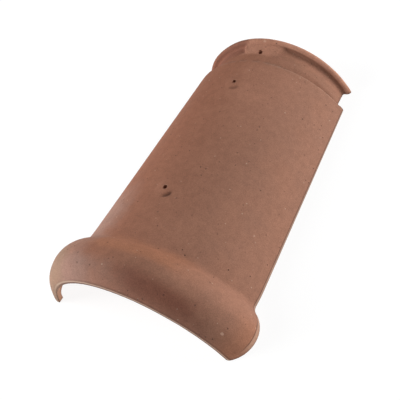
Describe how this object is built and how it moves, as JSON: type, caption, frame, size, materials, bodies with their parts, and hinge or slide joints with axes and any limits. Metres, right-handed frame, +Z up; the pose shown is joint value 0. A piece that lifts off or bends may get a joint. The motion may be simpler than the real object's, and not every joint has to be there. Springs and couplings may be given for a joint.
{
  "type": "clay ridge tile",
  "caption": "Half-round tapered clay ridge tile with a hollow rolled collar, a stepped spigot with a round rim and a fixing pad, and nail holes along the crown.",
  "frame": {"origin": "middle of the tile on the plane of its two long edges", "axes": "+Y along the tile from the collar to the spigot, +Z up through the crown, X across the tile, which is the same on both sides apart from its fixing pad"},
  "size_m": [0.2866, 0.4, 0.1067],
  "materials": {
    "fired_clay": "matte unglazed red-brown fired clay with fine grain, dark pores and pale specks"
  },
  "bodies": {
    "root": {"ridge_tile": "fired_clay"}
  },
  "joints": []
}
